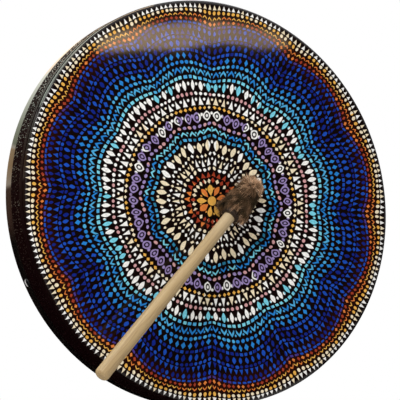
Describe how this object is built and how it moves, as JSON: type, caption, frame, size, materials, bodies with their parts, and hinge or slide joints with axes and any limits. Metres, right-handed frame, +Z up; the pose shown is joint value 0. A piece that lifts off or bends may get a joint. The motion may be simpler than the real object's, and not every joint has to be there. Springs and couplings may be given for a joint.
{
  "type": "shaman drum",
  "caption": "Round hand-held frame drum with a printed film head, black bent hoop and wooden cross handle, with a fur-headed beater resting on the head.",
  "frame": {"origin": "the middle of the cross handle, on the drum's axis, where the player's hand holds it", "axes": "+Y along the drum's axis, out of its open back; the playing head faces -Y; +Z up as the drum is held, +X to the right seen from the head's side"},
  "size_m": [0.559, 0.1416, 0.559],
  "materials": {
    "shell_lacquer": "gloss black lacquer on bent plywood",
    "head_film": "glossy printed film, dark ground with a radial pattern",
    "band_vinyl": "pebbled black",
    "handle_wood": "oiled",
    "peg_wood": "oiled",
    "black_steel": "black oxide",
    "stick_wood": "sanded, unvarnished",
    "felt": "dense wool felt",
    "fur": "brown fur, pile towards the handle",
    "dark_leather": "matt"
  },
  "bodies": {
    "drum": {"shell_hoop": "shell_lacquer", "drum_head": "head_film", "trim_band": "band_vinyl", "handle_bar_a": "handle_wood", "handle_bar_b": "handle_wood", "handle_peg": "peg_wood", "cup_washer_1": "black_steel", "cup_washer_2": "black_steel", "cup_washer_3": "black_steel", "cup_washer_4": "black_steel", "handle_screw_1": "black_steel", "handle_screw_2": "black_steel", "handle_screw_3": "black_steel", "handle_screw_4": "black_steel"},
    "beater": {"beater_stick": "stick_wood", "beater_core": "felt", "beater_fur": "fur", "beater_neck_band": "dark_leather"}
  },
  "joints": [
    {"name": "beater_strike", "type": "hinge", "parent": "drum", "child": "beater", "pos_m": [-0.15665, -0.11223, -0.20905], "axis": [0.7361, 0, -0.6769], "range_deg": [0, 50]}
  ]
}
